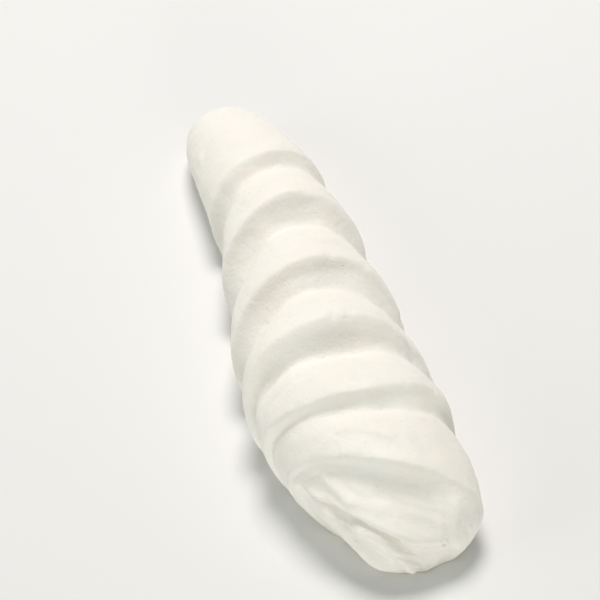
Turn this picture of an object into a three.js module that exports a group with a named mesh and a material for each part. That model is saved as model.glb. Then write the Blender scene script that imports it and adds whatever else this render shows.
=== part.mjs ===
// A piped meringue finger, baked in one piece.
//
// Units are millimetres, +Z is up and the flat baked base lies on z = 0.
// The finger runs along Y: the fat end, where piping began, is at -Y and the slim end at +Y.
// Six coil edges cross it, and below the first of them a broad petal hangs over the fat end. From one
// edge to the next the surface sinks over a rounded back, then climbs a steep face to a rolled lip.
// A point of the surface is named by k, t and beta. Edge 0 is the fat tip, edge 1 the petal's lower edge,
// edges 2 to 7 are the coil edges and edge 8 is the slim tip. t runs from 0 at edge k to 1 at the next
// one. beta runs from -1 at the left edge of the base, over the top at 0, to +1 at the right edge.

import * as THREE from 'three';

// Driving dimensions.
const BASE_LENGTH = 118;
const FAT_WIDTH = 34;
const SLIM_WIDTH = 24;
const FAT_HEIGHT = 24.5;
const SLIM_HEIGHT = 18;
const TAPER_FROM = 15;
const TAPER_TO = 95;

// How blunt the ends are: exponents of the superellipses that round them. Seen from above, the fat end
// is rounder on its left than on its right, and the two meet over the top within this reach in beta.
const FAT_LEFT_BLUNTNESS = 2.7;
const FAT_RIGHT_BLUNTNESS = 3.2;
const FAT_NOSE_BLUNTNESS = 3;
const SLIM_BLUNTNESS = 3.3;
const SIDE_BLEND = 0.4;

// How far each end bulges out over the end of its base, how far along the finger the bulge reaches,
// and how low on the end it is fullest: an exponent, and 1 is half way up.
const FAT_OVERHANG = 2.2;
const FAT_OVERHANG_REACH = 16;
const SLIM_OVERHANG = 1.4;
const SLIM_OVERHANG_REACH = 14;
const OVERHANG_LOWNESS = 0.7;

// The centre line swings to the right at the fat end and again over the slim half.
const FAT_SWING = 4.4;
const FAT_SWING_TO = 34;
const BOW = 2.4;
const BOW_FROM = 30;
const BOW_TO = 82;
const BOW_BACK_TO = 118;

// The cross-section is an egg: its widest level, and how far down its lower half the tray cuts it.
const WIDEST_LEVEL = 0.4;
const BASE_CUT = 0.62;
const BASE_ANGLE = Math.acos(-BASE_CUT);

// Coil edges from the fat end. station is where the edge crosses the top, from the tip of the base.
// The others are how far the edge lies towards the slim end (+) or the fat end (-) of its station, on
// the flanks and at the base's edges.
const COIL_EDGES = [
  { station: 8.7, leftBase: 6.7, left: 8.9, right: -2.8, rightBase: -8.3 },
  { station: 22, leftBase: -1, left: 3.6, right: 0.6, rightBase: -6.5 },
  { station: 39.5, leftBase: -9.5, left: -2.5, right: -4, rightBase: -18.5 },
  { station: 57, leftBase: -14, left: -5, right: -4, rightBase: -22 },
  { station: 77, leftBase: -15, left: -5, right: -3, rightBase: -17 },
  { station: 91.5, leftBase: -11, left: -3, right: 1, rightBase: -9 },
];
const LAST = COIL_EDGES.length + 2;

// The petal's lower edge: its arc length from the fat tip on the right, the beta where it starts to
// climb the left flank, how far and how sharply it climbs, and its distance from the first coil edge.
const PETAL_LOW = 7.9;
const PETAL_TURN = 0.2;
const PETAL_CLIMB = 38;
const PETAL_CURVE = 3.2;
const PETAL_GAP = 2.5;

// What lies between two edges, from the petal to the slim tip: the depth as a share of the distance
// between the edges, the t of the valley, and exponents that curve the back and the face.
const FLUTES = [
  { depth: 0.18, valley: 0.62, back: 1.6, face: 1.8 },
  { depth: 0.2, valley: 0.75, back: 0.7, face: 1.3 },
  { depth: 0.28, valley: 0.66, back: 0.65, face: 1.3 },
  { depth: 0.28, valley: 0.65, back: 0.65, face: 1.3 },
  { depth: 0.22, valley: 0.7, back: 0.65, face: 1.3 },
  { depth: 0.18, valley: 0.72, back: 0.7, face: 1.3 },
  { depth: 0.06, valley: 0.5, back: 1.5, face: 1.5 },
];

// Flutes are shallower on the flanks by these shares, reached between two places in beta. The petal's
// hollow fades sooner: it ends at the lobe on its right.
const LEFT_SHALLOWER = 0.25;
const LEFT_FROM = 0.35;
const LEFT_TO = 0.8;
const RIGHT_SHALLOWER = 0.35;
const RIGHT_FROM = 0.05;
const RIGHT_TO = 0.5;
const PETAL_LEFT_SHALLOWER = 0.55;
const PETAL_LEFT_FROM = 0.1;
const PETAL_LEFT_TO = 0.5;
const PETAL_RIGHT_SHALLOWER = 0.9;
const PETAL_RIGHT_FROM = 0.14;
const PETAL_RIGHT_TO = 0.36;

// The step down below the petal's edge: its depth, how far below the edge it is full, how far above the
// fat tip it starts, and an exponent that curves it.
const STEP_DEPTH = 1;
const STEP_REACH = 1.8;
const STEP_FADE = 3;
const STEP_CURVE = 1.3;

// A coil edge is rolled towards the fat end, over the face before it, and the petal's edge a little.
const ROLL = 0.9;
const PETAL_ROLL = 0.4;
const ROLL_REACH = 3;

// Ridges that the star nozzle raised on the fat end, and grooves where the height is below 0. Each runs
// through places given as [arc length from the fat tip, beta], and reaches this far to its near and its
// far side. It fades over a share of its length at both ends.
const STAR_STROKES = [
  { height: 1.3, near: 2.2, far: 2.2,
    places: [[28.5, -0.64], [24.1, -0.62], [21.4, -0.64], [17.6, -0.68], [13, -0.78], [5, -0.96]] },
  { height: 1.3, near: 2, far: 1.8,
    places: [[20, -0.6], [16, -0.52], [12.6, -0.45], [7.3, -0.46], [4.2, -0.62], [2.4, -0.85]] },
  { height: -0.6, near: 0.9, far: 0.9,
    places: [[24.5, -0.56], [20.8, -0.54], [18, -0.49], [14.4, -0.4], [11, -0.31], [8.4, -0.16]] },
  { height: 0.55, near: 1.5, far: 1.7,
    places: [[26.5, -0.47], [23.6, -0.45], [20.8, -0.43], [18.6, -0.41]] },
  { height: -0.3, near: 1.2, far: 1.6,
    places: [[16.8, 0.25], [13.8, 0.27], [10.8, 0.28], [8.5, 0.3], [6.4, 0.34]] },
];
const STROKE_FADE = 0.2;
const STROKE_STEPS = 12;

// Relief turns level close to the base, so that the edge of the base stays on the tray, and no point
// beside that edge comes closer to the tray than the clearance.
const LEVEL_BELOW = 5;
const CLEARANCE = 0.05;

// Mesh resolution: rows on the fat end, between two edges and on the slim end, as values of t, and
// columns over the top and across the base.
const FAT_ROWS = [0.1, 0.22, 0.34, 0.46, 0.58, 0.69, 0.79, 0.87, 0.93, 0.97];
const FLUTE_ROWS = [0, 0.06, 0.16, 0.3, 0.45, 0.58, 0.68, 0.77, 0.86, 0.94];
const SLIM_ROWS = [0, 0.08, 0.2, 0.34, 0.48, 0.62, 0.74, 0.84, 0.91, 0.965];
const TOP_COLUMNS = 60;
const BASE_COLUMNS = 6;
const PROFILE_STEPS = 600;

// Steps along and across the body between the points that its normal is worked out from.
const NORMAL_STEP_ALONG = 0.4;
const NORMAL_STEP_ACROSS = 0.02;

const clamp = (value, low, high) => Math.min(high, Math.max(low, value));

function smoothstep(low, high, value) {
  const t = clamp((value - low) / (high - low), 0, 1);
  return t * t * (3 - 2 * t);
}

function taper(y, fat, slim) {
  return fat + (slim - fat) * smoothstep(TAPER_FROM, TAPER_TO, y);
}

function centreLine(y) {
  const fatEnd = 1 - smoothstep(0, FAT_SWING_TO, y);
  const slimEnd = smoothstep(BOW_FROM, BOW_TO, y) - smoothstep(BOW_TO, BOW_BACK_TO, y);
  return FAT_SWING * fatEnd + BOW * slimEnd;
}

// Half height of a superellipse of half length 1.
function rounded(along, bluntness) {
  return Math.max(0, 1 - Math.abs(along) ** bluntness) ** (1 / bluntness);
}

// The profile of the top, tip to tip: station along the base, shares of the full height and of the left
// and right half widths, and arc length.
function makeProfile() {
  const profile = [];
  let arc = 0;
  for (let i = 0; i <= PROFILE_STEPS; i += 1) {
    const cosine = Math.cos((Math.PI * i) / PROFILE_STEPS);
    const [nose, leftSide, rightSide] = cosine > 0
      ? [FAT_NOSE_BLUNTNESS, FAT_LEFT_BLUNTNESS, FAT_RIGHT_BLUNTNESS]
      : [SLIM_BLUNTNESS, SLIM_BLUNTNESS, SLIM_BLUNTNESS];
    const along = Math.sign(cosine) * Math.abs(cosine) ** (2 / nose);
    const y = (BASE_LENGTH * (1 - along)) / 2;
    const high = rounded(along, nose);
    const height = taper(y, FAT_HEIGHT, SLIM_HEIGHT) * high;
    if (i > 0) {
      arc += Math.hypot(y - profile[i - 1].y, height - profile[i - 1].height);
    }
    profile.push({ y, high, left: rounded(along, leftSide), right: rounded(along, rightSide), height, arc });
  }
  return profile;
}

const PROFILE = makeProfile();
const ARC_LENGTH = PROFILE[PROFILE_STEPS].arc;

// Reads one column of the profile where another column has a given value.
function readProfile(wanted, by, value) {
  let low = 0;
  let high = PROFILE_STEPS;
  while (high - low > 1) {
    const middle = (low + high) >> 1;
    if (PROFILE[middle][by] > value) {
      high = middle;
    } else {
      low = middle;
    }
  }
  const a = PROFILE[low];
  const b = PROFILE[high];
  const share = clamp((value - a[by]) / (b[by] - a[by]), 0, 1);
  return a[wanted] + (b[wanted] - a[wanted]) * share;
}

// A smooth curve through the five places beta = -1, -1/2, 0, 1/2 and 1, where it is 0 at the top.
function acrossTop(edge, beta) {
  const places = [-1, -0.5, 0, 0.5, 1];
  const values = [edge.leftBase, edge.left, 0, edge.right, edge.rightBase];
  let sum = 0;
  for (let i = 0; i < places.length; i += 1) {
    let weight = values[i];
    for (let j = 0; j < places.length; j += 1) {
      weight *= i === j ? 1 : (beta - places[j]) / (places[i] - places[j]);
    }
    sum += weight;
  }
  return sum;
}

function coilArc(edge, beta) {
  return readProfile('arc', 'y', edge.station) + acrossTop(edge, beta);
}

// The petal's lower edge is level on the right and climbs the left flank beside the first coil edge.
// The smaller of the two arc lengths is taken, blended smoothly.
function petalArc(beta) {
  const free = PETAL_LOW + PETAL_CLIMB * Math.max(0, PETAL_TURN - beta) ** PETAL_CURVE;
  const limit = coilArc(COIL_EDGES[0], beta) - PETAL_GAP;
  return Math.min(free, limit) - Math.log1p(Math.exp(-Math.abs(free - limit)));
}

// Arc length of edge k at beta.
function edgeArc(k, beta) {
  if (k === 0) {
    return 0;
  }
  if (k === LAST) {
    return ARC_LENGTH;
  }
  return k === 1 ? petalArc(beta) : coilArc(COIL_EDGES[k - 2], beta);
}

// The bare body, before any relief, at arc length s.
function bodyPoint(s, beta) {
  const y = readProfile('y', 'arc', s);
  const left = readProfile('left', 'arc', s);
  const right = readProfile('right', 'arc', s);
  const wide = left + (right - left) * smoothstep(-SIDE_BLEND, SIDE_BLEND, beta);
  const width = taper(y, FAT_WIDTH, SLIM_WIDTH) * wide;
  const fullHeight = taper(y, FAT_HEIGHT, SLIM_HEIGHT);
  const height = fullHeight * readProfile('high', 'arc', s);
  const angle = beta * BASE_ANGLE;
  const rise = Math.cos(angle);
  const semi = rise > 0 ? (1 - WIDEST_LEVEL) * height : (WIDEST_LEVEL * height) / BASE_CUT;
  const z = WIDEST_LEVEL * height + semi * rise;
  const x = centreLine(y) + (width / 2) * Math.sin(angle);
  const bulge = Math.sin(Math.PI * clamp(z / fullHeight, 0, 1) ** OVERHANG_LOWNESS);
  const fatEnd = 1 - smoothstep(0, FAT_OVERHANG_REACH, y);
  const slimEnd = smoothstep(BASE_LENGTH - SLIM_OVERHANG_REACH, BASE_LENGTH, y);
  return new THREE.Vector3(x, y + bulge * (SLIM_OVERHANG * slimEnd - FAT_OVERHANG * fatEnd), z);
}

function bodyNormal(s, beta) {
  const before = clamp(s - NORMAL_STEP_ALONG, 0, ARC_LENGTH);
  const after = clamp(s + NORMAL_STEP_ALONG, 0, ARC_LENGTH);
  const along = bodyPoint(after, beta).sub(bodyPoint(before, beta));
  const left = bodyPoint(s, beta - NORMAL_STEP_ACROSS);
  const right = bodyPoint(s, beta + NORMAL_STEP_ACROSS);
  return right.sub(left).cross(along).normalize();
}

// The depth that is left at beta, as a share of that on the top.
function flankShare(k, beta) {
  if (k === 1) {
    const left = PETAL_LEFT_SHALLOWER * smoothstep(PETAL_LEFT_FROM, PETAL_LEFT_TO, -beta);
    const right = PETAL_RIGHT_SHALLOWER * smoothstep(PETAL_RIGHT_FROM, PETAL_RIGHT_TO, beta);
    return 1 - left - right;
  }
  const left = LEFT_SHALLOWER * smoothstep(LEFT_FROM, LEFT_TO, -beta);
  const right = RIGHT_SHALLOWER * smoothstep(RIGHT_FROM, RIGHT_TO, beta);
  return 1 - left - right;
}

// How far the surface lies below its two edges, which are gap apart.
function fluteDepth(k, t, gap) {
  if (k === 0) {
    const below = Math.max(0, 1 - ((1 - t) * gap) / STEP_REACH);
    return STEP_DEPTH * (1 - below ** STEP_CURVE) * Math.min(1, (t * gap) / STEP_FADE);
  }
  const flute = FLUTES[k - 1];
  const back = Math.max(0, 1 - t / flute.valley) ** flute.back;
  const face = Math.max(0, (t - flute.valley) / (1 - flute.valley)) ** flute.face;
  const fade = k === LAST - 1 ? 1 - t : 1;
  return flute.depth * gap * fade * (1 - back - face);
}

// How far edge k hangs over towards the fat end.
function edgeRoll(k) {
  if (k === 0 || k === LAST) {
    return 0;
  }
  return k === 1 ? PETAL_ROLL : ROLL;
}

// How far the surface beside the edges moves with them.
function rollAt(k, t, gap) {
  const before = Math.max(0, 1 - (t * gap) / ROLL_REACH);
  const after = Math.max(0, 1 - ((1 - t) * gap) / ROLL_REACH);
  return edgeRoll(k) * before ** 2 + edgeRoll(k + 1) * after ** 2;
}

// The middle line of a stroke, as closely spaced points of the bare body.
function strokeLine(stroke) {
  const places = stroke.places.map(([s, beta]) => new THREE.Vector3(s, beta, 0));
  const curve = new THREE.CatmullRomCurve3(places, false, 'catmullrom');
  const line = curve.getPoints(STROKE_STEPS * (places.length - 1));
  return line.map((place) => ({ s: place.x, spot: bodyPoint(place.x, place.y) }));
}

const STROKE_LINES = STAR_STROKES.map(strokeLine);

// Height of one stroke at a point of the bare body that lies at arc length s.
function strokeHeight(stroke, line, point, s) {
  const distances = line.map(({ spot }) => spot.distanceTo(point));
  const distance = Math.min(...distances);
  const nearest = distances.indexOf(distance);
  const share = nearest / (line.length - 1);
  const ends = smoothstep(0, STROKE_FADE, share) * smoothstep(0, STROKE_FADE, 1 - share);
  const reach = s < line[nearest].s ? stroke.near : stroke.far;
  return stroke.height * ends * (1 - smoothstep(0, 1, distance / reach));
}

function surfacePoint(k, t, beta) {
  const from = edgeArc(k, beta);
  const gap = edgeArc(k + 1, beta) - from;
  const s = from + gap * t;
  const point = bodyPoint(s, beta);
  const outward = bodyNormal(s, beta);
  const free = smoothstep(0, LEVEL_BELOW, point.z);
  outward.z *= free;
  const strokes = STAR_STROKES.map((stroke, i) => strokeHeight(stroke, STROKE_LINES[i], point, s));
  const height = strokes.reduce((sum, value) => sum + value, -fluteDepth(k, t, gap) * flankShare(k, beta));
  point.addScaledVector(outward, height);
  point.y -= rollAt(k, t, gap) * free;
  point.z = Math.abs(beta) === 1 ? 0 : Math.max(point.z, CLEARANCE);
  return point;
}

// The rows of the mesh between the two tips, as [k, t] pairs.
function meshRows() {
  const rows = FAT_ROWS.map((t) => [0, t]);
  for (let k = 1; k < LAST - 1; k += 1) {
    rows.push(...FLUTE_ROWS.map((t) => [k, t]));
  }
  rows.push(...SLIM_ROWS.map((t) => [LAST - 1, t]));
  return rows;
}

// One closed ring of points: over the top from left to right, then back under the flat base.
function ring(k, t) {
  const points = [];
  for (let i = 0; i <= TOP_COLUMNS; i += 1) {
    points.push(surfacePoint(k, t, (2 * i) / TOP_COLUMNS - 1));
  }
  const left = points[0];
  const right = points[TOP_COLUMNS];
  for (let i = 1; i < BASE_COLUMNS; i += 1) {
    points.push(right.clone().lerp(left, i / BASE_COLUMNS));
  }
  return points;
}

function makeGeometry() {
  const rings = meshRows().map(([k, t]) => ring(k, t));
  const size = rings[0].length;
  const points = [bodyPoint(0, 0), ...rings.flat(), bodyPoint(ARC_LENGTH, 0)];
  const last = points.length - 1;
  const faces = [];
  const at = (row, column) => 1 + row * size + (column % size);
  for (let column = 0; column < size; column += 1) {
    faces.push(0, at(0, column + 1), at(0, column));
    faces.push(last, at(rings.length - 1, column), at(rings.length - 1, column + 1));
  }
  for (let row = 0; row < rings.length - 1; row += 1) {
    for (let column = 0; column < size; column += 1) {
      const a = at(row, column);
      const b = at(row, column + 1);
      const c = at(row + 1, column + 1);
      const d = at(row + 1, column);
      faces.push(a, b, c, a, c, d);
    }
  }
  const geometry = new THREE.BufferGeometry().setFromPoints(points);
  geometry.setIndex(faces);
  return geometry;
}

// Centres the finger over the origin, with its base on z = 0.
function centred(geometry) {
  geometry.computeBoundingBox();
  const middle = geometry.boundingBox.getCenter(new THREE.Vector3());
  geometry.translate(-middle.x, -middle.y, 0);
  geometry.computeVertexNormals();
  return geometry;
}

const sugarWhite = new THREE.MeshStandardMaterial({ color: 0xf7f2e6, roughness: 0.85, metalness: 0 });

const meringue = new THREE.Mesh(centred(makeGeometry()), sugarWhite);
meringue.name = 'meringue';

const part = new THREE.Group();
part.add(meringue);

export default part;
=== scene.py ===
"""A piped meringue finger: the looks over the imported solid.

The mesh repeats the form of the solid at a finer step, and adds what shows close up: rounded coil
edges, the low arcs that the nozzle left, nicks, bubbles and grain. Sizes are in millimetres until the
mesh is made, where they become metres. The finger lies along Y with its fat end at -Y.
A point of the surface is named by k, t and beta, as in the part's source. Edge 0 is the fat tip, edge 1
the petal's lower edge, edges 2 to 7 are the coil edges and edge 8 is the slim tip. t runs from 0 at
edge k to 1 at the next one. beta runs from -1 at the left edge of the base, over the top at 0, to +1 at
the right edge. s is the arc length over the top from the fat tip.
"""

import math
import random
from collections import namedtuple

import bpy
import numpy as np
from mathutils import Matrix, Vector, noise


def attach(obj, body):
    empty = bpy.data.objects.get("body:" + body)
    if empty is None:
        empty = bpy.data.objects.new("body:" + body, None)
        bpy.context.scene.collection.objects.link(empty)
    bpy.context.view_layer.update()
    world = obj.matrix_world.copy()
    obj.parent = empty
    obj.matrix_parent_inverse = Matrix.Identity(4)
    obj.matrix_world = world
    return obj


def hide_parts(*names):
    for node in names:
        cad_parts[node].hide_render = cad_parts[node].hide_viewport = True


MM = 0.001

# ---------------------------------------------------------------- the form, as in the solid

BASE_LENGTH = 118
FAT_WIDTH = 34
SLIM_WIDTH = 24
FAT_HEIGHT = 24.5
SLIM_HEIGHT = 18
TAPER_FROM = 15
TAPER_TO = 95

# Exponents of the superellipses that round the ends. Seen from above, the fat end is rounder on its left
# than on its right, and the two meet over the top within SIDE_BLEND in beta.
FAT_LEFT_BLUNTNESS = 2.7
FAT_RIGHT_BLUNTNESS = 3.2
FAT_NOSE_BLUNTNESS = 3
SLIM_BLUNTNESS = 3.3
SIDE_BLEND = 0.4

# How far each end bulges out over its base, how far along the finger that reaches, and how low it is
# fullest: an exponent, and 1 is half way up.
FAT_OVERHANG = 2.2
FAT_OVERHANG_REACH = 16
SLIM_OVERHANG = 1.4
SLIM_OVERHANG_REACH = 14
OVERHANG_LOWNESS = 0.7

# The centre line swings to the right at the fat end and again over the slim half.
FAT_SWING = 4.4
FAT_SWING_TO = 34
BOW = 2.4
BOW_FROM = 30
BOW_TO = 82
BOW_BACK_TO = 118

# The cross-section is an egg: its widest level, and how far down its lower half the tray cuts it.
WIDEST_LEVEL = 0.4
BASE_CUT = 0.62
BASE_ANGLE = math.acos(-BASE_CUT)

# Coil edges: where each crosses the top, and how far it lies towards the slim end (+) or the fat end (-)
# of that place on the flanks and at the base's edges.
Edge = namedtuple("Edge", "station left_base left right right_base")
EDGES = (
    Edge(8.7, 6.7, 8.9, -2.8, -8.3),
    Edge(22.0, -1, 3.6, 0.6, -6.5),
    Edge(39.5, -9.5, -2.5, -4, -18.5),
    Edge(57, -14, -5, -4, -22),
    Edge(77, -15, -5, -3, -17),
    Edge(91.5, -11, -3, 1, -9),
)
LAST = len(EDGES) + 2

# The petal's lower edge: its arc length on the right, the beta where it starts to climb the left flank,
# how far and how sharply it climbs, and its distance from the first coil edge.
PETAL_LOW = 7.9
PETAL_TURN = 0.2
PETAL_CLIMB = 38
PETAL_CURVE = 3.2
PETAL_GAP = 2.5

# What lies between two edges: the depth as a share of the distance between them, the t of the valley,
# and exponents that curve the back and the face.
Flute = namedtuple("Flute", "depth valley back face")
FLUTES = (
    Flute(0.18, 0.62, 1.6, 1.8),
    Flute(0.20, 0.75, 0.7, 1.3),
    Flute(0.28, 0.66, 0.65, 1.3),
    Flute(0.28, 0.65, 0.65, 1.3),
    Flute(0.22, 0.70, 0.65, 1.3),
    Flute(0.18, 0.72, 0.7, 1.3),
    Flute(0.06, 0.50, 1.5, 1.5),
)

# Shares by which the flutes are shallower on the flanks. Each sets in between two distances in beta from
# the top.
LEFT_SHALLOWER = 0.25
LEFT_FROM = 0.35
LEFT_TO = 0.8
RIGHT_SHALLOWER = 0.35
RIGHT_FROM = 0.05
RIGHT_TO = 0.5
PETAL_LEFT_SHALLOWER = 0.55
PETAL_LEFT_FROM = 0.1
PETAL_LEFT_TO = 0.5
PETAL_RIGHT_SHALLOWER = 0.9
PETAL_RIGHT_FROM = 0.14
PETAL_RIGHT_TO = 0.36

# The step down below the petal's edge: its depth, how far below the edge it is full, how far above the
# fat tip it starts, and an exponent that curves it.
STEP_DEPTH = 1.0
STEP_REACH = 1.8
STEP_FADE = 3
STEP_CURVE = 1.3

# How far the edges hang over towards the fat end, and how far from an edge that reaches.
ROLL = 0.9
PETAL_ROLL = 0.4
ROLL_REACH = 3

# Relief turns level below this height, and keeps this far above the tray beside the base's edge.
LEVEL_BELOW = 5
CLEARANCE = 0.05

# Raised strokes of the star nozzle, and grooves where the height is below 0. Each runs through places
# (s, beta), reaches this far to its near and far side, and fades over a share of its length at both ends.
Stroke = namedtuple("Stroke", "height near far places")
STAR_STROKES = (
    Stroke(1.3, 2.2, 2.2, (
        (28.5, -0.64), (24.1, -0.62), (21.4, -0.64), (17.6, -0.68), (13.0, -0.78), (5, -0.96))),
    Stroke(1.3, 2.0, 1.8, (
        (20.0, -0.60), (16.0, -0.52), (12.6, -0.45), (7.3, -0.46), (4.2, -0.62), (2.4, -0.85))),
    Stroke(-0.6, 0.9, 0.9, (
        (24.5, -0.56), (20.8, -0.54), (18.0, -0.49), (14.4, -0.40), (11.0, -0.31), (8.4, -0.16))),
    Stroke(0.55, 1.5, 1.7, ((26.5, -0.47), (23.6, -0.45), (20.8, -0.43), (18.6, -0.41))),
    Stroke(-0.3, 1.2, 1.6, ((16.8, 0.25), (13.8, 0.27), (10.8, 0.28), (8.5, 0.30), (6.4, 0.34))),
)
STROKE_FADE = 0.2
STROKE_STEPS = 12

# ---------------------------------------------------------------- smaller features of the surface

# In turn: the deep spot in the groove on the fat end, a faint line beside the ridges, two low arcs behind
# the petal's edge, the groove on the right flank, and the soft mark on the slim end.
FINE_STROKES = (
    Stroke(-0.7, 0.7, 0.7, ((8.7, 0.29), (7.6, 0.31), (6.2, 0.35))),
    Stroke(0.12, 1.2, 1.6, ((24.4, -0.40), (22.9, -0.38), (20.1, -0.32), (18.0, -0.28))),
    Stroke(0.36, 1.7, 3.6, (
        (29.2, -0.43), (28.8, -0.27), (28.8, -0.14), (26.6, -0.02), (23.4, 0.09), (20.8, 0.20))),
    Stroke(0.24, 1.2, 2.0, ((26.1, -0.27), (25.5, -0.20), (24.6, -0.12))),
    Stroke(-0.35, 1.6, 2.0, ((60.9, 0.45), (55.0, 0.46), (49.0, 0.48), (44.3, 0.54), (40.3, 0.62))),
    Stroke(0.25, 2.4, 2.4, ((114.4, -0.42), (115.2, -0.46), (116, -0.50))),
)

# The edges wander by up to this much, in about this many bends on each side of the top, and the depth of
# the flutes varies by up to this share.
EDGE_WANDER = 0.4
EDGE_WANDER_TURNS = 2.4
DEPTH_VARIETY = 0.25

# The relief is averaged over points this far apart, with weights that fall off as a bell curve.
ROUNDING = 0.65
ROUNDING_STEPS = (-2, -1, 0, 1, 2)

# Lumps of foam have a size. Drag lines have a spacing along the finger and last this far across it, in
# beta. At the slim end they keep only a share of their height.
Lump = namedtuple("Lump", "size height seed")
LUMPS = (Lump(13, 0.45, 1), Lump(5, 0.18, 2), Lump(1.8, 0.07, 3))
Drag = namedtuple("Drag", "along across height seed")
DRAGS = (Drag(3.4, 0.5, 0.2, 11), Drag(1.3, 0.6, 0.13, 12))
SLIM_END_DRAG = 0.35

# Each use of the noise reads it at a place of its own, so that no two look alike.
WANDER_ROW = 3.7
WANDER_PLANE = 0.5
DEPTH_WANDER_SHIFT = 0.4
LUMP_SHIFT = (31.7, 17.3, 5.9)
DRAG_SEED_SHIFT = 7.1
DRAG_EDGE_SHIFT = 13.3

# Pits, where bubbles burst, lie between two shares of the arc length, and their depth is a share of their
# radius. Nicks lie on the coil edges, and their depth is in millimetres. Both keep this side of the base.
Hollow = namedtuple("Hollow", "count low_radius high_radius depth")
PITS = Hollow(40, 0.4, 0.7, 0.3)
NICKS = Hollow(13, 0.9, 1.7, 0.22)
PIT_FROM = 0.06
PIT_TO = 0.97
HOLLOW_SEED = 21
HOLLOW_SIDE = 0.85

# ---------------------------------------------------------------- the mesh

ROW_PITCH = 0.42
TOP_COLUMNS = 200
BASE_COLUMNS = 12
PROFILE_STEPS = 4000
NORMAL_STEP_ALONG = 0.4
NORMAL_STEP_ACROSS = 0.02
SHORTEST = 1e-12


def smoothstep(low, high, value):
    t = np.clip((value - low) / (high - low), 0, 1)
    return t * t * (3 - 2 * t)


def taper(y, fat, slim):
    return fat + (slim - fat) * smoothstep(TAPER_FROM, TAPER_TO, y)


def centre_line(y):
    fat_end = 1 - smoothstep(0, FAT_SWING_TO, y)
    slim_end = smoothstep(BOW_FROM, BOW_TO, y) - smoothstep(BOW_TO, BOW_BACK_TO, y)
    return FAT_SWING * fat_end + BOW * slim_end


def rounded(along, bluntness):
    """Half height of a superellipse of half length 1."""
    return np.clip(1 - np.abs(along) ** bluntness, 0, 1) ** (1 / bluntness)


def make_profile():
    """Station, shares of the full height and half widths, and arc length of the top, from tip to tip."""
    angle = np.linspace(0, np.pi, PROFILE_STEPS + 1)
    fat_half = angle < np.pi / 2
    cosine = np.cos(angle)
    nose = np.where(fat_half, FAT_NOSE_BLUNTNESS, SLIM_BLUNTNESS)
    along = np.sign(cosine) * np.abs(cosine) ** (2 / nose)
    y = BASE_LENGTH * (1 - along) / 2
    high = rounded(along, nose)
    left = rounded(along, np.where(fat_half, FAT_LEFT_BLUNTNESS, SLIM_BLUNTNESS))
    right = rounded(along, np.where(fat_half, FAT_RIGHT_BLUNTNESS, SLIM_BLUNTNESS))
    height = taper(y, FAT_HEIGHT, SLIM_HEIGHT) * high
    steps = np.hypot(np.diff(y), np.diff(height))
    arc = np.concatenate([[0], np.cumsum(steps)])
    return y, high, left, right, arc


PROFILE_Y, PROFILE_HIGH, PROFILE_LEFT, PROFILE_RIGHT, PROFILE_ARC = make_profile()
ARC_LENGTH = PROFILE_ARC[-1]


def across_top(edge, beta):
    """A smooth curve through the five places beta = -1, -1/2, 0, 1/2 and 1, where it is 0 at the top."""
    places = (-1, -0.5, 0, 0.5, 1)
    values = (edge.left_base, edge.left, 0, edge.right, edge.right_base)
    total = 0
    for i, value in enumerate(values):
        weight = value
        for j, place in enumerate(places):
            if i != j:
                weight = weight * (beta - place) / (places[i] - place)
        total = total + weight
    return total


def coil_arc(edge, beta):
    return np.interp(edge.station, PROFILE_Y, PROFILE_ARC) + across_top(edge, beta)


def petal_arc(beta):
    """The petal's lower edge: level on the right, climbing the left flank beside the first coil edge."""
    free = PETAL_LOW + PETAL_CLIMB * np.clip(PETAL_TURN - beta, 0, None) ** PETAL_CURVE
    limit = coil_arc(EDGES[0], beta) - PETAL_GAP
    return -np.logaddexp(-free, -limit)


def edge_arc(k, beta):
    """Arc length of edge k at beta."""
    if k == 0:
        return np.zeros_like(beta)
    if k == LAST:
        return np.full_like(beta, ARC_LENGTH)
    if k == 1:
        return petal_arc(beta)
    return coil_arc(EDGES[k - 2], beta)


def body_point(s, beta):
    """The bare body, before any relief."""
    s = np.clip(s, 0, ARC_LENGTH)
    y = np.interp(s, PROFILE_ARC, PROFILE_Y)
    left = np.interp(s, PROFILE_ARC, PROFILE_LEFT)
    right = np.interp(s, PROFILE_ARC, PROFILE_RIGHT)
    wide = left + (right - left) * smoothstep(-SIDE_BLEND, SIDE_BLEND, beta)
    width = taper(y, FAT_WIDTH, SLIM_WIDTH) * wide
    full_height = taper(y, FAT_HEIGHT, SLIM_HEIGHT)
    height = full_height * np.interp(s, PROFILE_ARC, PROFILE_HIGH)
    angle = beta * BASE_ANGLE
    rise = np.cos(angle)
    upper = (1 - WIDEST_LEVEL) * height
    lower = WIDEST_LEVEL * height / BASE_CUT
    z = WIDEST_LEVEL * height + np.where(rise > 0, upper, lower) * rise
    x = centre_line(y) + width / 2 * np.sin(angle)
    bulge = np.sin(np.pi * np.clip(z / full_height, 0, 1) ** OVERHANG_LOWNESS)
    fat_end = 1 - smoothstep(0, FAT_OVERHANG_REACH, y)
    slim_end = smoothstep(BASE_LENGTH - SLIM_OVERHANG_REACH, BASE_LENGTH, y)
    y = y + bulge * (SLIM_OVERHANG * slim_end - FAT_OVERHANG * fat_end)
    return np.stack([x, y, z], axis=-1)


def unit(vectors):
    return vectors / np.maximum(np.linalg.norm(vectors, axis=-1, keepdims=True), SHORTEST)


def body_normal(s, beta):
    before = body_point(s - NORMAL_STEP_ALONG, beta)
    after = body_point(s + NORMAL_STEP_ALONG, beta)
    left = body_point(s, beta - NORMAL_STEP_ACROSS)
    right = body_point(s, beta + NORMAL_STEP_ACROSS)
    return unit(np.cross(right - left, after - before))


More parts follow.
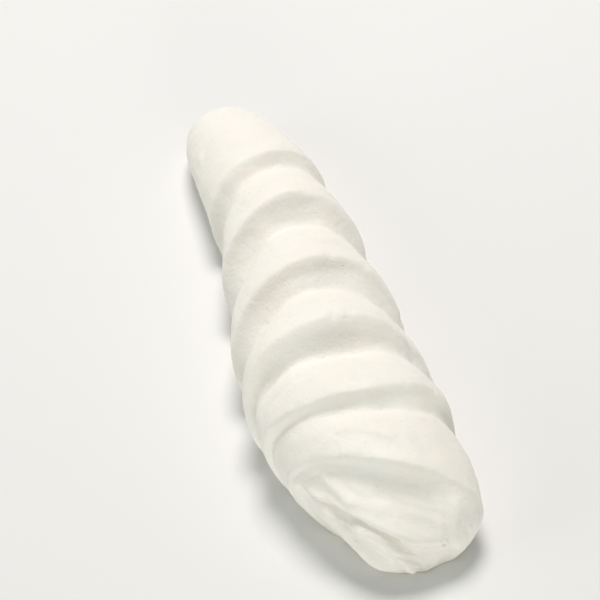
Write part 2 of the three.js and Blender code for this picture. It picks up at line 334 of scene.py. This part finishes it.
def flute_depth(k, t, gap):
    """How far the surface lies below its two edges: a long back, then a short face up to edge k + 1."""
    if k == 0:
        below = np.clip(1 - (1 - t) * gap / STEP_REACH, 0, None)
        return STEP_DEPTH * (1 - below**STEP_CURVE) * np.minimum(1, t * gap / STEP_FADE)
    flute = FLUTES[k - 1]
    back = np.clip(1 - t / flute.valley, 0, None) ** flute.back
    face = np.clip((t - flute.valley) / (1 - flute.valley), 0, None) ** flute.face
    fade = 1 - t if k == LAST - 1 else 1
    return flute.depth * gap * fade * (1 - back - face)


def edge_roll(k):
    """How far edge k hangs over towards the fat end."""
    if k in (0, LAST):
        return 0
    return PETAL_ROLL if k == 1 else ROLL


def sharp_relief(s, edges, share):
    """Depth of the flutes and roll of the edges at each point."""
    depth = np.zeros_like(s)
    roll = np.zeros_like(s)
    for k in range(LAST):
        gap = edges[k + 1] - edges[k]
        here = (s >= edges[k]) & (s < edges[k + 1])
        t = np.clip((s - edges[k]) / gap, 0, 1)
        depth = np.where(here, flute_depth(k, t, gap) * share[k], depth)
        before = edge_roll(k) * np.clip(1 - t * gap / ROLL_REACH, 0, None) ** 2
        after = edge_roll(k + 1) * np.clip(1 - (1 - t) * gap / ROLL_REACH, 0, None) ** 2
        roll = np.where(here, before + after, roll)
    return depth, roll


def soft_relief(s, edges, share):
    """The relief with its edges rounded over about a millimetre."""
    depth = 0
    roll = 0
    total = 0
    for step in ROUNDING_STEPS:
        weight = math.exp(-step * step / 2)
        one_depth, one_roll = sharp_relief(s + step * ROUNDING, edges, share)
        depth = depth + weight * one_depth
        roll = roll + weight * one_roll
        total += weight
    return depth / total, roll / total


def flank_share(k, beta):
    """Flutes grow shallower down the flanks, and the petal's hollow ends at the lobe on its right."""
    if k == 1:
        left = 1 - PETAL_LEFT_SHALLOWER * smoothstep(PETAL_LEFT_FROM, PETAL_LEFT_TO, -beta)
        right = 1 - PETAL_RIGHT_SHALLOWER * smoothstep(PETAL_RIGHT_FROM, PETAL_RIGHT_TO, beta)
    else:
        left = 1 - LEFT_SHALLOWER * smoothstep(LEFT_FROM, LEFT_TO, -beta)
        right = 1 - RIGHT_SHALLOWER * smoothstep(RIGHT_FROM, RIGHT_TO, beta)
    return left * right


def curve_through(places):
    """A smooth line through the places, as closely spaced points."""
    places = [np.array(place, dtype=float) for place in places]
    places = [2 * places[0] - places[1]] + places + [2 * places[-1] - places[-2]]
    line = []
    for a, b, c, d in zip(places, places[1:], places[2:], places[3:]):
        bend = 2 * a - 5 * b + 4 * c - d
        twist = 3 * b - a - 3 * c + d
        for step in range(STROKE_STEPS):
            t = step / STROKE_STEPS
            line.append(b + t * (c - a + t * (bend + t * twist)) / 2)
    line.append(places[-2])
    return np.array(line)


def stroke_relief(points, s, stroke):
    """Height of one stroke at each point of the body."""
    line = curve_through(stroke.places)
    spots = body_point(line[:, 0], line[:, 1])
    nearest = np.full(s.shape, np.inf)
    share = np.zeros_like(s)
    line_s = np.zeros_like(s)
    for i, spot in enumerate(spots):
        distance = np.linalg.norm(points - spot, axis=-1)
        closer = distance < nearest
        nearest = np.where(closer, distance, nearest)
        share = np.where(closer, i / (len(spots) - 1), share)
        line_s = np.where(closer, line[i, 0], line_s)
    reach = np.where(s < line_s, stroke.near, stroke.far)
    ends = smoothstep(0, STROKE_FADE, share) * smoothstep(0, STROKE_FADE, 1 - share)
    return stroke.height * ends * (1 - smoothstep(0, 1, nearest / reach))


def wander(k, beta):
    """A slow unevenness between -1 and 1 along edge k."""
    return np.array([
        noise.noise(Vector((EDGE_WANDER_TURNS * b, WANDER_ROW * k, WANDER_PLANE))) for b in beta.tolist()
    ])


def lumps(points, lump):
    """Uneven foam: smooth noise of the lump's size."""
    shift = Vector([lump.seed * step for step in LUMP_SHIFT])
    heights = [noise.noise(Vector(p) / lump.size + shift) for p in points.reshape(-1, 3).tolist()]
    return lump.height * np.array(heights).reshape(points.shape[:2])


def drag_lines(s, edges, k_of, drag):
    """Fine ridges beside the coil edges, as the nozzle's teeth leave them, fainter at the slim end."""
    from_edge = (edges[k_of + 1] - s) / drag.along
    heights = np.zeros_like(s)
    turns = np.linspace(-1, 1, s.shape[1]) / drag.across
    for i, row in enumerate(from_edge.tolist()):
        shift = drag.seed * DRAG_SEED_SHIFT + DRAG_EDGE_SHIFT * k_of[i]
        heights[i] = [noise.noise(Vector((r, b, shift))) for r, b in zip(row, turns.tolist())]
    heights[k_of == LAST - 1] *= SLIM_END_DRAG
    return drag.height * heights


def hollow_spots(edges):
    """Centre, radius and depth of the pits anywhere and of the nicks along the coil edges."""
    chance = random.Random(HOLLOW_SEED)
    beta = np.linspace(-1, 1, edges.shape[1])
    spots = []
    for i in range(PITS.count + NICKS.count):
        kind = PITS if i < PITS.count else NICKS
        side = chance.uniform(-HOLLOW_SIDE, HOLLOW_SIDE)
        if kind is PITS:
            s = chance.uniform(PIT_FROM, PIT_TO) * ARC_LENGTH
        else:
            s = np.interp(side, beta, edges[chance.randrange(2, LAST)])
        radius = chance.uniform(kind.low_radius, kind.high_radius)
        depth = kind.depth * radius if kind is PITS else kind.depth
        spots.append((body_point(np.array([s]), np.array([side]))[0], radius, depth))
    return spots


def hollow_relief(points, spots):
    height = np.zeros(points.shape[:2])
    for centre, radius, depth in spots:
        distance = np.linalg.norm(points - centre, axis=-1)
        height -= depth * (1 - smoothstep(0, radius, distance))
    return height


def mesh_rows(edges):
    """k and t of each row between the two tips, about one row pitch apart where the edges part most."""
    rows = []
    for k in range(LAST):
        gap = (edges[k + 1] - edges[k]).max()
        count = round(gap / ROW_PITCH)
        rows += [(k, i / count) for i in range(count)]
    return rows[1:]


def make_surface():
    """Points over the top in rows from the fat end to the slim end, each from left to right."""
    beta = np.linspace(-1, 1, TOP_COLUMNS + 1)
    edges = np.array([edge_arc(k, beta) for k in range(LAST + 1)])
    for k in range(1, LAST):
        edges[k] += EDGE_WANDER * wander(k, beta)
    share = [
        flank_share(k, beta) * (1 + DEPTH_VARIETY * wander(k + DEPTH_WANDER_SHIFT, beta))
        for k in range(LAST)
    ]
    rows = mesh_rows(edges)
    k_of = np.array([k for k, t in rows])
    t_of = np.array([t for k, t in rows])[:, None]
    s = edges[k_of] + (edges[k_of + 1] - edges[k_of]) * t_of
    beta_of = beta[None, :] + np.zeros_like(s)
    body = body_point(s, beta_of)
    outward = body_normal(s, beta_of)
    free = smoothstep(0, LEVEL_BELOW, body[..., 2])
    outward[..., 2] *= free
    depth, roll = soft_relief(s, edges, share)
    height = -depth
    for stroke in STAR_STROKES + FINE_STROKES:
        height += stroke_relief(body, s, stroke)
    for lump in LUMPS:
        height += lumps(body, lump)
    for drag in DRAGS:
        height += drag_lines(s, edges, k_of, drag)
    height += hollow_relief(body, hollow_spots(edges))
    points = body + outward * height[..., None]
    points[..., 1] -= roll * free
    points[..., 2] = np.maximum(points[..., 2], CLEARANCE)
    points[:, 0, 2] = 0
    points[:, -1, 2] = 0
    return points


def tip(s):
    return body_point(np.array([s]), np.zeros(1))[0]


def make_mesh(name, grid):
    """A closed mesh of the grid over the top, a flat base and the two tips, centred over the origin."""
    shares = np.arange(1, BASE_COLUMNS) / BASE_COLUMNS
    right = grid[:, -1, None]
    left = grid[:, 0, None]
    base = right + (left - right) * shares[None, :, None]
    rings = np.concatenate([grid, base], axis=1)
    count, size = rings.shape[:2]
    points = np.concatenate([[tip(0)], rings.reshape(-1, 3), [tip(ARC_LENGTH)]])
    middle = (points.min(axis=0) + points.max(axis=0)) / 2
    points[:, :2] -= middle[:2]
    index = 1 + np.arange(count * size).reshape(count, size)
    beside = np.roll(index, -1, axis=1)
    quads = np.stack([index[:-1], beside[:-1], beside[1:], index[1:]], axis=-1).reshape(-1, 4)
    end = len(points) - 1
    faces = [(0, b, a) for a, b in zip(index[0].tolist(), beside[0].tolist())]
    faces += quads.tolist()
    faces += [(end, a, b) for a, b in zip(index[-1].tolist(), beside[-1].tolist())]
    mesh = bpy.data.meshes.new(name)
    mesh.from_pydata((points * MM).tolist(), [], faces)
    mesh.validate()
    mesh.shade_smooth()
    piece = bpy.data.objects.new(name, mesh)
    bpy.context.scene.collection.objects.link(piece)
    return piece, middle


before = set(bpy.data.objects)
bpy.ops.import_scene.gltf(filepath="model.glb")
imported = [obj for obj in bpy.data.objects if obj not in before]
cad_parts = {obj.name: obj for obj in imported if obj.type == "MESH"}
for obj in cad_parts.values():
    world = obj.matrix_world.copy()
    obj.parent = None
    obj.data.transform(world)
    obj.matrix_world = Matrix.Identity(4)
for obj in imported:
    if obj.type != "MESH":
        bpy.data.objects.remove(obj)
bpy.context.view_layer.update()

meringue, middle = make_mesh("piped_meringue", make_surface())
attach(meringue, "root")
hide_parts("meringue")

# ---------------------------------------------------------------- material, in metres

CREAM = (0.94, 0.910, 0.855, 1)
WARM_CREAM = (0.93, 0.882, 0.800, 1)
BASE_TOAST = (0.80, 0.66, 0.46, 1)
SHEEN = 0.35
SCATTER_SHARE = 0.35
SCATTER_DEPTH = 0.0015
SCATTER_BY_COLOUR = (1, 0.85, 0.7)

Texture = namedtuple("Texture", "scale detail roughness")
CLOUDS = Texture(110, 3, 0.6)
BLOTCHES = Texture(420, 4, 0.65)
GRAIN = Texture(1700, 3, 0.6)
PORE_SCALE = 620

# A value between low and high becomes one between new_low and new_high.
Span = namedtuple("Span", "low high new_low new_high")
WARMTH = Span(0.38, 0.66, 0, 0.55)
TOAST = Span(0, 0.0025, 0.3, 0)
TOAST_PATCHES = Span(0.35, 0.65, 0.4, 1)
ROUGHNESS = Span(0.3, 0.7, 0.50, 0.68)
PORES = Span(0, 0.16, 0, 1)

Bump = namedtuple("Bump", "strength distance")
PORE_BUMP = Bump(0.6, 0.00016)
BLOTCH_BUMP = Bump(0.6, 0.0003)
GRAIN_BUMP = Bump(0.8, 0.00012)


def add_noise(tree, place, texture):
    node = tree.nodes.new("ShaderNodeTexNoise")
    node.inputs["Scale"].default_value = texture.scale
    node.inputs["Detail"].default_value = texture.detail
    node.inputs["Roughness"].default_value = texture.roughness
    tree.links.new(place, node.inputs["Vector"])
    return node.outputs["Fac"]


def add_cells(tree, place, scale):
    node = tree.nodes.new("ShaderNodeTexVoronoi")
    node.inputs["Scale"].default_value = scale
    tree.links.new(place, node.inputs["Vector"])
    return node.outputs["Distance"]


def scaled(tree, source, span):
    node = tree.nodes.new("ShaderNodeMapRange")
    node.inputs["From Min"].default_value = span.low
    node.inputs["From Max"].default_value = span.high
    node.inputs["To Min"].default_value = span.new_low
    node.inputs["To Max"].default_value = span.new_high
    tree.links.new(source, node.inputs["Value"])
    return node.outputs["Result"]


def product(tree, first, second):
    node = tree.nodes.new("ShaderNodeMath")
    node.operation = "MULTIPLY"
    tree.links.new(first, node.inputs[0])
    tree.links.new(second, node.inputs[1])
    return node.outputs["Value"]


def mixed(tree, share, first, second):
    node = tree.nodes.new("ShaderNodeMix")
    node.data_type = "RGBA"
    tree.links.new(share, node.inputs["Factor"])
    for socket, colour in ((node.inputs["A"], first), (node.inputs["B"], second)):
        if isinstance(colour, tuple):
            socket.default_value = colour
        else:
            tree.links.new(colour, socket)
    return node.outputs["Result"]


def bumped(tree, height, bump, normal=None):
    node = tree.nodes.new("ShaderNodeBump")
    node.inputs["Strength"].default_value = bump.strength
    node.inputs["Distance"].default_value = bump.distance
    tree.links.new(height, node.inputs["Height"])
    if normal is not None:
        tree.links.new(normal, node.inputs["Normal"])
    return node.outputs["Normal"]


def make_sugar():
    """Dry baked meringue: creamy white, a little uneven in colour and gloss, with a fine grain."""
    material = bpy.data.materials.new("baked_meringue")
    material.use_nodes = True
    tree = material.node_tree
    shader = tree.nodes["Principled BSDF"]
    place = tree.nodes.new("ShaderNodeTexCoord").outputs["Object"]
    clouds = add_noise(tree, place, CLOUDS)
    blotches = add_noise(tree, place, BLOTCHES)
    grain = add_noise(tree, place, GRAIN)
    cells = add_cells(tree, place, PORE_SCALE)

    cream = mixed(tree, scaled(tree, clouds, WARMTH), CREAM, WARM_CREAM)
    level = tree.nodes.new("ShaderNodeSeparateXYZ")
    tree.links.new(place, level.inputs["Vector"])
    low = scaled(tree, level.outputs["Z"], TOAST)
    toasted = product(tree, low, scaled(tree, blotches, TOAST_PATCHES))
    tree.links.new(mixed(tree, toasted, cream, BASE_TOAST), shader.inputs["Base Color"])
    tree.links.new(scaled(tree, blotches, ROUGHNESS), shader.inputs["Roughness"])
    shader.inputs["Specular IOR Level"].default_value = SHEEN
    shader.inputs["Subsurface Weight"].default_value = SCATTER_SHARE
    shader.inputs["Subsurface Scale"].default_value = SCATTER_DEPTH
    shader.inputs["Subsurface Radius"].default_value = SCATTER_BY_COLOUR

    normal = bumped(tree, scaled(tree, cells, PORES), PORE_BUMP)
    normal = bumped(tree, blotches, BLOTCH_BUMP, normal)
    normal = bumped(tree, grain, GRAIN_BUMP, normal)
    tree.links.new(normal, shader.inputs["Normal"])
    return material


meringue.data.materials.append(make_sugar())

# ---------------------------------------------------------------- floor, light and camera, in metres

FLOOR_HALF = 1.5
FLOOR_DROP = 0.0001
FLOOR_GREY = (0.84, 0.84, 0.84, 1)
FLOOR_ROUGHNESS = 0.9
FLOOR_SHEEN = 0.1

# Two soft disks and a low soft beam, all aimed at the origin. The beam is narrow, so that it spares the
# floor in front of the finger.
Lamp = namedtuple("Lamp", "name place size power colour")
KEY = Lamp("key", (0.13, 0.33, 0.82), 0.4, 6.0, (1, 0.94, 0.92))
FILL = Lamp("fill", (-0.62, -0.02, 0.26), 0.5, 0.8, (0.97, 0.98, 0.95))
FRONT = Lamp("front", (-0.05, -0.66, 0.09), 0.16, 4.8, (1, 0.985, 0.955))
FRONT_ANGLE = 27
SKY_COLOUR = (0.915, 1, 0.925, 1)
SKY_STRENGTH = 0.3

# The camera's place and aim are in millimetres and its angles in degrees.
CAMERA_SPOT = (-49.5, -238.0, 279.0)
CAMERA_AIM = (0, 0, 9)
CAMERA_ROLL = -8.0
CAMERA_ANGLE = 14.6


def make_floor():
    corners = [(x * FLOOR_HALF, y * FLOOR_HALF, 0) for x, y in ((-1, -1), (1, -1), (1, 1), (-1, 1))]
    mesh = bpy.data.meshes.new("floor")
    mesh.from_pydata(corners, [], [(0, 1, 2, 3)])
    floor = bpy.data.objects.new("floor", mesh)
    floor.location.z = -FLOOR_DROP
    bpy.context.scene.collection.objects.link(floor)
    material = bpy.data.materials.new("pale_floor")
    material.use_nodes = True
    shader = material.node_tree.nodes["Principled BSDF"]
    shader.inputs["Base Color"].default_value = FLOOR_GREY
    shader.inputs["Roughness"].default_value = FLOOR_ROUGHNESS
    shader.inputs["Specular IOR Level"].default_value = FLOOR_SHEEN
    mesh.materials.append(material)


def add_lamp(lamp, kind):
    light = bpy.data.lights.new(lamp.name, kind)
    light.energy = lamp.power
    light.color = lamp.colour
    holder = bpy.data.objects.new(lamp.name, light)
    holder.location = lamp.place
    holder.visible_camera = False
    holder.rotation_euler = (-Vector(lamp.place)).to_track_quat("-Z", "Y").to_euler()
    bpy.context.scene.collection.objects.link(holder)
    return light


def add_disk(lamp):
    light = add_lamp(lamp, "AREA")
    light.shape = "DISK"
    light.size = lamp.size


def add_beam(lamp, angle):
    light = add_lamp(lamp, "SPOT")
    light.shadow_soft_size = lamp.size / 2
    light.spot_size = math.radians(angle)
    light.spot_blend = 1


def make_sky():
    world = bpy.data.worlds.new("studio")
    bpy.context.scene.world = world
    world.use_nodes = True
    background = world.node_tree.nodes["Background"]
    background.inputs["Color"].default_value = SKY_COLOUR
    background.inputs["Strength"].default_value = SKY_STRENGTH


def add_camera():
    camera = bpy.data.cameras.new("camera")
    camera.angle = math.radians(CAMERA_ANGLE)
    holder = bpy.data.objects.new("camera", camera)
    spot = Vector(CAMERA_SPOT) - Vector((middle[0], middle[1], 0))
    spot *= MM
    aim = Vector(CAMERA_AIM) * MM
    turn = (aim - spot).to_track_quat("-Z", "Y").to_matrix().to_4x4()
    roll = Matrix.Rotation(math.radians(CAMERA_ROLL), 4, "Z")
    holder.matrix_world = Matrix.Translation(spot) @ turn @ roll
    bpy.context.scene.collection.objects.link(holder)
    bpy.context.scene.camera = holder


make_floor()
add_disk(KEY)
add_disk(FILL)
add_beam(FRONT, FRONT_ANGLE)
make_sky()
add_camera()
bpy.context.scene.view_settings.view_transform = "Standard"
